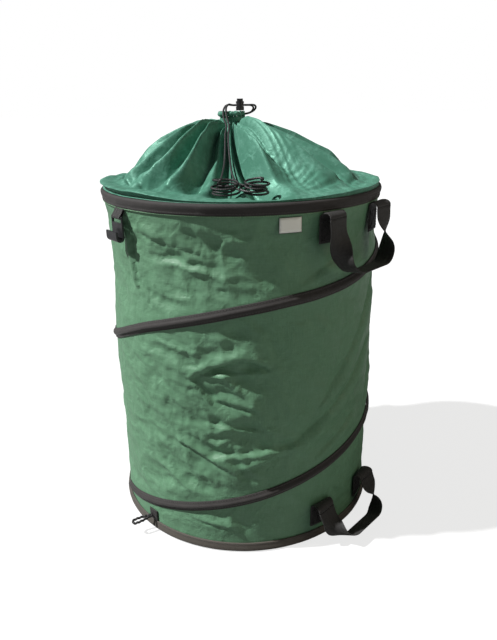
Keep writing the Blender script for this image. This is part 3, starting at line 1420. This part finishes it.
def handle_loop(name, azimuth, pivot, drop, tilt):
    """Free strap of a handle: it hangs from both folds and turns edge-on into the grip."""
    radius = RADIUS + FOLD_REACH
    half = radius * math.sin(math.radians(HANDLE_HALF_ANGLE))
    start = radius * math.cos(math.radians(HANDLE_HALF_ANGLE))
    clear = RADIUS + 0.0054 + STRAP_WIDTH / 2
    lean = Matrix.Rotation(math.radians(-tilt), 3, sideways(azimuth))
    room = STRAP_GAP + STRAP_THICKNESS / 2 * math.sin(math.radians(tilt))
    off = math.hypot(pivot.x, pivot.y)
    limb = drop - HANDLE_CORNER
    arc = HANDLE_CORNER * math.pi / 2
    total = limb + arc + half - HANDLE_CORNER
    centres, directions, widths = [], [], []
    last = 2 * (HANDLE_STATIONS - 1)
    for station in range(last + 1):
        mirrored = station >= HANDLE_STATIONS
        nearer = min(station, last - station)
        along = total * nearer / (HANDLE_STATIONS - 1)
        if along <= limb:
            t, z, heading = -half, -along, 0.0
        elif along <= limb + arc:
            heading = (along - limb) / HANDLE_CORNER
            t = -half + HANDLE_CORNER * (1.0 - math.cos(heading))
            z = -limb - HANDLE_CORNER * math.sin(heading)
        else:
            t, z, heading = -half + HANDLE_CORNER + along - limb - arc, -drop, math.pi / 2
        twist = math.radians(HANDLE_TWIST) * ease((along / total - 0.12) / 0.42)
        in_plane = Vector((math.cos(heading), 0.0, math.sin(heading)))
        if mirrored:
            t, in_plane.x = -t, -in_plane.x
        out = mix(start, clear, ease(along / (limb + arc)))
        across = sideways(azimuth) * in_plane.x + Vector((0.0, 0.0, in_plane.z))
        centre = sideways(azimuth) * t + outward(azimuth) * (out - off) + Vector((0.0, 0.0, z - room))
        centres.append(pivot + lean @ centre)
        directions.append(lean @ (across * math.cos(twist) + outward(azimuth) * math.sin(twist)))
        widths.append(1.0 - HANDLE_NARROWING * ease(2.2 * nearer / HANDLE_STATIONS))
    return strap(name, centres, directions, STRAP_WIDTH, STRAP_THICKNESS, widths)


def box_stitch(name, place, seam):
    """Sewn square with its cross on the outer face of a handle's end."""
    half_width, low, high = 0.42 * STRAP_WIDTH, -PATCH_LENGTH + 0.004, -0.006
    face, yarn = RADIUS + STRAP_GAP + STRAP_THICKNESS + 0.0001, 0.00045
    corners = [(-half_width, low), (half_width, low), (half_width, high), (-half_width, high)]
    runs = [(corners[i], corners[(i + 1) % 4]) for i in range(4)] + [(corners[0], corners[2]), (corners[1], corners[3])]
    shape = bmesh.new()
    for (x0, z0), (x1, z1) in runs:
        count = max(2, round(math.hypot(x1 - x0, z1 - z0) / 0.0036))
        for k in range(count):
            ends = []
            for share in ((k + 0.18) / count, (k + 0.82) / count):
                across, level = mix(x0, x1, share), mix(z0, z1, share)
                ends.append(polar(place + math.degrees(across / RADIUS), face, seam + level))
            run = ends[1] - ends[0]
            side = run.normalized().cross(outward(place)) * yarn
            lift = outward(place) * yarn
            verts = [shape.verts.new(p) for end in ends for p in (end - side, end + lift, end + side, end - lift)]
            for j in range(4):
                m = (j + 1) % 4
                shape.faces.new((verts[j], verts[m], verts[4 + m], verts[4 + j]))
            shape.faces.new(verts[:4][::-1])
            shape.faces.new(verts[4:])
    bmesh.ops.recalc_face_normals(shape, faces=shape.faces)
    mesh = bpy.data.meshes.new(name)
    shape.to_mesh(mesh)
    shape.free()
    mesh.uv_layers.new(name="cloth")
    mesh.materials.append(finish_of("webbing_stitch"))
    return add_object(name, mesh)


class WASTEBAG_OT_handles(bpy.types.Operator):
    """Sew the three webbing handles"""

    bl_idname = "waste_bag.handles"
    bl_label = "Handles"

    def execute(self, context):
        for prefix, (body, drop, tilt) in HANDLES.items():
            joint = f"{prefix}_swing"
            azimuth = handle_azimuth(joint)
            pivot = Vector(JOINTS[joint]["pos_m"])
            loop = handle_loop(f"{prefix}_strap", azimuth, pivot, drop, tilt)
            settle(loop, prefix, "webbing", f"{prefix}_loop")
            pieces = [(loop, 0.20)]
            for end, side in (("front", -1), ("rear", 1)):
                place = azimuth + side * HANDLE_HALF_ANGLE
                tab = handle_end(f"{prefix}_end_{end}", place, azimuth, pivot.z)
                settle(tab, body, "webbing", f"{prefix}_tab_{end}")
                stitches = box_stitch(f"{prefix}_stitch_{end}", place, pivot.z)
                settle(stitches, body, "webbing")
                pieces += [(tab, 0.45), (stitches, 0.45)]
            if prefix == "carry_handle_right":
                for piece, keep in pieces:
                    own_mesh(piece)
        return {"FINISHED"}


class WASTEBAG_OT_hooks(bpy.types.Operator):
    """Mould the closing hooks and fold their webbing"""

    bl_idname = "waste_bag.hooks"
    bl_label = "Closing hooks"

    def execute(self, context):
        for side in ("left", "right"):
            joint = f"closing_hook_{side}_swing"
            bevel(refinish(f"closing_hook_{side}", "moulded_plastic"), 0.0006, 3)
            self.fold(side, handle_azimuth(joint), Vector(JOINTS[joint]["pos_m"]))
        return {"FINISHED"}

    def fold(self, side, azimuth, pivot):
        """Webbing from under the top band round the hook's bar and back up."""
        off = math.hypot(pivot.x, pivot.y) - RADIUS
        half, bar, lip = 0.0007, 0.0015, BAND[0].z
        wrap = bar + GAP + half
        line = [(GAP + half, lip - GAP - 0.0125 * share * 0.25) for share in (0.0, 0.5, 1.0)]
        line += [
            (off + wrap * math.cos(math.radians(a)), pivot.z + wrap * math.sin(math.radians(a)))
            for a in (mix(160.0, 400.0, step / 16) for step in range(17))
        ]
        front = 3 * half + 2 * GAP
        line += [(mix(off + wrap, front, 0.75), mix(pivot.z, lip, 0.62)), (front, lip - 0.00105)]
        points = smooth_curve([Vector((o, 0.0, h)) for o, h in line], 0.0010)
        centres = [polar(azimuth, RADIUS + p.x, p.z) for p in points]
        piece = strap(f"hook_webbing_{side}", centres, [sideways(azimuth)] * len(centres), 0.0238, 0.0013)
        settle(piece, "hoop", "webbing", f"hook_strap_{side}")


class WASTEBAG_OT_elastics(bpy.types.Operator):
    """Sew the elastic loops into their tabs at the base"""

    bl_idname = "waste_bag.elastics"
    bl_label = "Elastic loops"

    def execute(self, context):
        for side in ("left", "right"):
            joint = f"elastic_loop_{side}_bend"
            azimuth = handle_azimuth(joint)
            path = self.loop(azimuth, Vector(JOINTS[joint]["pos_m"]))
            loop = tube(f"elastic_{side}", path, ELASTIC_RADIUS, "elastic_cord", sides=12, ends=0.4)
            settle(loop, f"elastic_loop_{side}", "cord", f"elastic_loop_{side}")
            self.tab(side, azimuth)
        return {"FINISHED"}

    def tab(self, side, azimuth):
        """Folded webbing that holds the loop's two ends."""
        low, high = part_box(f"elastic_tab_{side}")
        heights = [mix(low.z, high.z, k / 16) for k in range(17)]
        inner, outer = RADIUS + 0.0004, RADIUS + 0.0027
        section = [(outer, h) for h in heights] + [(inner, h) for h in reversed(heights)]
        grid, cloth = [], []
        for k in range(17):
            across = mix(-0.0099, 0.0099, k / 16)
            edge = 1.0 - 0.5 * abs(2 * k / 16 - 1.0) ** 8
            row = []
            for radius, height in section:
                bulge = 0.0004 * math.cos(9.0 * (height - low.z) / (high.z - low.z)) if radius == outer else 0.0
                radius = mix(inner, radius, edge) - abs(bulge)
                row.append(outward(azimuth) * radius + sideways(azimuth) * across + Vector((0, 0, height)))
            grid.append(row)
            spots = [(across, h) for _, h in section]
            cloth.append(spots + [spots[0]])
        tab = lofted(f"elastic_sewn_tab_{side}", grid, cloth, "woven_webbing")
        settle(tab, "base", "webbing", f"elastic_tab_{side}")

    def loop(self, azimuth, pivot):
        """Scrunched loop of elastic cord, out of its tab and back."""
        radius, reach, width = ELASTIC_RADIUS, 0.0330, 0.0120
        lie = azimuth - 20.0
        slope = math.radians(-6.0)
        out = outward(lie) * math.cos(slope) + Vector((0.0, 0.0, math.sin(slope)))
        half = width / 2 - radius
        line = [(0.25, -0.6 * radius), (0.28, -0.35 * radius), (0.30, 0.0)]
        straight = reach - half
        line += [(mix(0.30, 1.0, ease(step / 3)), straight * step / 4) for step in range(1, 4)]
        for step in range(9):
            angle = math.pi * step / 8
            line.append((math.cos(angle), straight + half * math.sin(angle)))
        line += [(-share, along) for share, along in reversed(line[:6])]
        points = [pivot + out * along + sideways(lie) * share * (half + radius * 0.5) for share, along in line]
        fine = smooth_curve(points, 0.0012)
        last = len(fine) - 1
        return [
            p + Vector((0.0, 0.0, 0.0006 * math.sin(i * 1.1) * ease(i / 8) * ease((last - i) / 8)))
            for i, p in enumerate(fine)
        ]


class WASTEBAG_OT_label(bpy.types.Operator):
    """Sew on the bare label with its dark edge"""

    bl_idname = "waste_bag.label"
    bl_label = "Label"

    def execute(self, context):
        low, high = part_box("label_patch")
        azimuth = math.degrees(math.atan2((low.x + high.x) / 2, -(low.y + high.y) / 2))
        width, height = 0.0325, high.z - low.z
        for name, finish, inset, rise in (
            ("label_edge", "woven_webbing", 0.0, 0.0004), ("label_face", "label_satin", 0.0006, 0.0009),
        ):
            grid, cloth = [], []
            for i in range(7):
                level = low.z + mix(inset, height - inset, i / 6)
                row = []
                for j in range(13):
                    across = mix(-width / 2 + inset, width / 2 - inset, j / 12)
                    rim = 1.0 if 0 < i < 6 and 0 < j < 12 else 0.5
                    row.append(polar(azimuth + math.degrees(across / RADIUS), RADIUS + 0.0002 + rise * rim, level))
                grid.append(row)
                cloth.append([(mix(0.0, width, j / 12), level) for j in range(13)])
            piece = lofted(name, grid, cloth, finish, around=False, caps=False)
            solid(piece, LABEL_THICKNESS)
            if name == "label_face":
                settle(piece, "hoop", "label_cloth", "label_patch")
            else:
                settle(piece, "hoop", "webbing")
        return {"FINISHED"}


# Studio

WHITE = (1.0, 1.0, 1.0)


def floor_finish(floor):
    """Floor: plain to the light, and white to the camera with the bag's shadow on it."""
    material = bpy.data.materials.new("studio_floor")
    material.use_nodes = True
    graph = Graph(material.node_tree)
    graph.tree.nodes.remove(graph.tree.nodes["Principled BSDF"])
    plain = graph.add("ShaderNodeBsdfDiffuse", {"Color": floor}).outputs[0]
    glow = graph.add("ShaderNodeEmission", {"Color": WHITE, "Strength": 0.76}).outputs[0]
    both = graph.add("ShaderNodeAddShader", {0: plain, 1: glow}).outputs[0]
    seen = graph.add("ShaderNodeLightPath").outputs["Is Camera Ray"]
    mixed = graph.add("ShaderNodeMixShader", {0: seen, 1: plain, 2: both}).outputs[0]
    graph.feed(graph.tree.nodes["Material Output"].inputs["Surface"], mixed)
    return material


def add_light(kind, name, azimuth, elevation, energy, distance=1.0, target=(0.0, 0.0, 0.0), **settings):
    """Light that looks at a target from an azimuth, an elevation and a distance."""
    light = bpy.data.lights.new(name, kind)
    light.energy = energy
    for key, value in settings.items():
        setattr(light, key, value)
    lamp = add_object(name, light)
    target, rise = Vector(target), math.radians(elevation)
    above = Vector((0.0, 0.0, distance * math.sin(rise)))
    lamp.location = target + outward(azimuth) * distance * math.cos(rise) + above
    lamp.rotation_euler = (target - lamp.location).to_track_quat("-Z", "Y").to_euler()


class WASTEBAG_OT_stage(bpy.types.Operator):
    """Set up the floor, the two lights, the pale sky and the camera"""

    bl_idname = "waste_bag.stage"
    bl_label = "Studio"

    def execute(self, context):
        props = context.scene.bag_stage
        mesh = bpy.data.meshes.new("studio_floor")
        mesh.from_pydata([(-30, -30, 0), (30, -30, 0), (30, 30, 0), (-30, 30, 0)], [], [(0, 1, 2, 3)])
        mesh.materials.append(floor_finish(props.floor))
        floor = add_object("studio_floor", mesh)
        floor.location.z = -0.0005
        add_light("SUN", "key_light", *KEY_PLACE, props.key, angle=math.radians(1.6))
        add_light(
            "AREA", "front_light", *FRONT_PLACE, 1.6 * props.key, 2.6, (0.0, 0.0, 0.30),
            shape="DISK", size=1.6, color=(1.0, 0.88, 0.66),
        )
        self.sky(context, props.fill)
        self.camera(context)
        context.scene.view_settings.view_transform = "Standard"
        return {"FINISHED"}

    def sky(self, context, fill):
        """White backdrop to the camera, and a weak fill to everything else."""
        world = bpy.data.worlds.new("studio")
        context.scene.world = world
        world.use_nodes = True
        graph = Graph(world.node_tree)
        sky = world.node_tree.nodes["Background"]
        graph.feed(sky.inputs["Color"], WHITE)
        graph.feed(sky.inputs["Strength"], fill)
        path = graph.add("ShaderNodeLightPath").outputs
        seen = graph.math("MAXIMUM", path["Is Camera Ray"], path["Is Transmission Ray"])
        white = graph.add("ShaderNodeBackground", {"Color": WHITE, "Strength": 1.0}).outputs[0]
        mixed = graph.add("ShaderNodeMixShader", {0: seen, 1: sky.outputs[0], 2: white}).outputs[0]
        graph.feed(world.node_tree.nodes["World Output"].inputs["Surface"], mixed)

    def camera(self, context):
        """Camera at the photograph's place and angle."""
        data = bpy.data.cameras.new("camera")
        data.lens = CAMERA_LENS
        data.sensor_width = 36.0
        data.clip_start, data.clip_end = 0.01, 100.0
        camera = add_object("camera", data)
        forward = Vector((math.sin(CAMERA_YAW), math.cos(CAMERA_YAW), 0.0))
        right = Vector((math.cos(CAMERA_YAW), -math.sin(CAMERA_YAW), 0.0))
        ahead = forward * math.cos(CAMERA_PITCH) - Vector((0, 0, math.sin(CAMERA_PITCH)))
        up = forward * math.sin(CAMERA_PITCH) + Vector((0, 0, math.cos(CAMERA_PITCH)))
        x = right * math.cos(CAMERA_ROLL) - up * math.sin(CAMERA_ROLL)
        y = right * math.sin(CAMERA_ROLL) + up * math.cos(CAMERA_ROLL)
        turn = Matrix((x, y, -ahead)).transposed()
        camera.matrix_world = Matrix.Translation(CAMERA_PLACE) @ turn.to_4x4()
        context.scene.camera = camera


OPERATORS = (
    WASTEBAG_OT_stage, WASTEBAG_OT_cords, WASTEBAG_OT_wall, WASTEBAG_OT_bands, WASTEBAG_OT_spiral, WASTEBAG_OT_cover,
    WASTEBAG_OT_lock, WASTEBAG_OT_handles, WASTEBAG_OT_hooks, WASTEBAG_OT_elastics, WASTEBAG_OT_label,
)


class WASTEBAG_PT_panel(bpy.types.Panel):
    """Sidebar panel that lists the bag's pieces."""

    bl_idname = "WASTEBAG_PT_panel"
    bl_label = "Garden Waste Bag"
    bl_space_type = "VIEW_3D"
    bl_region_type = "UI"
    bl_category = "Waste Bag"

    def draw(self, context):
        for group in (context.scene.bag_cloth, context.scene.bag_trim, context.scene.bag_stage):
            column = self.layout.column(align=True)
            for name in group.__annotations__:
                column.prop(group, name)
        for operator in OPERATORS:
            self.layout.operator(operator.bl_idname)


GROUPS = {"bag_cloth": BagCloth, "bag_trim": BagTrim, "bag_stage": BagStage}


def register():
    """Register the classes and hang the property groups on the scene."""
    for cls in (*GROUPS.values(), *OPERATORS, WASTEBAG_PT_panel):
        bpy.utils.register_class(cls)
    for name, cls in GROUPS.items():
        setattr(bpy.types.Scene, name, bpy.props.PointerProperty(type=cls))


def unregister():
    """Undo what register did."""
    for name in GROUPS:
        delattr(bpy.types.Scene, name)
    for cls in (WASTEBAG_PT_panel, *reversed(OPERATORS), *reversed(GROUPS.values())):
        bpy.utils.unregister_class(cls)


def main():
    """Build the studio and every piece."""
    register()
    for operator in OPERATORS:
        group, name = operator.bl_idname.split(".")
        getattr(getattr(bpy.ops, group), name)()


if __name__ == "__main__":
    main()
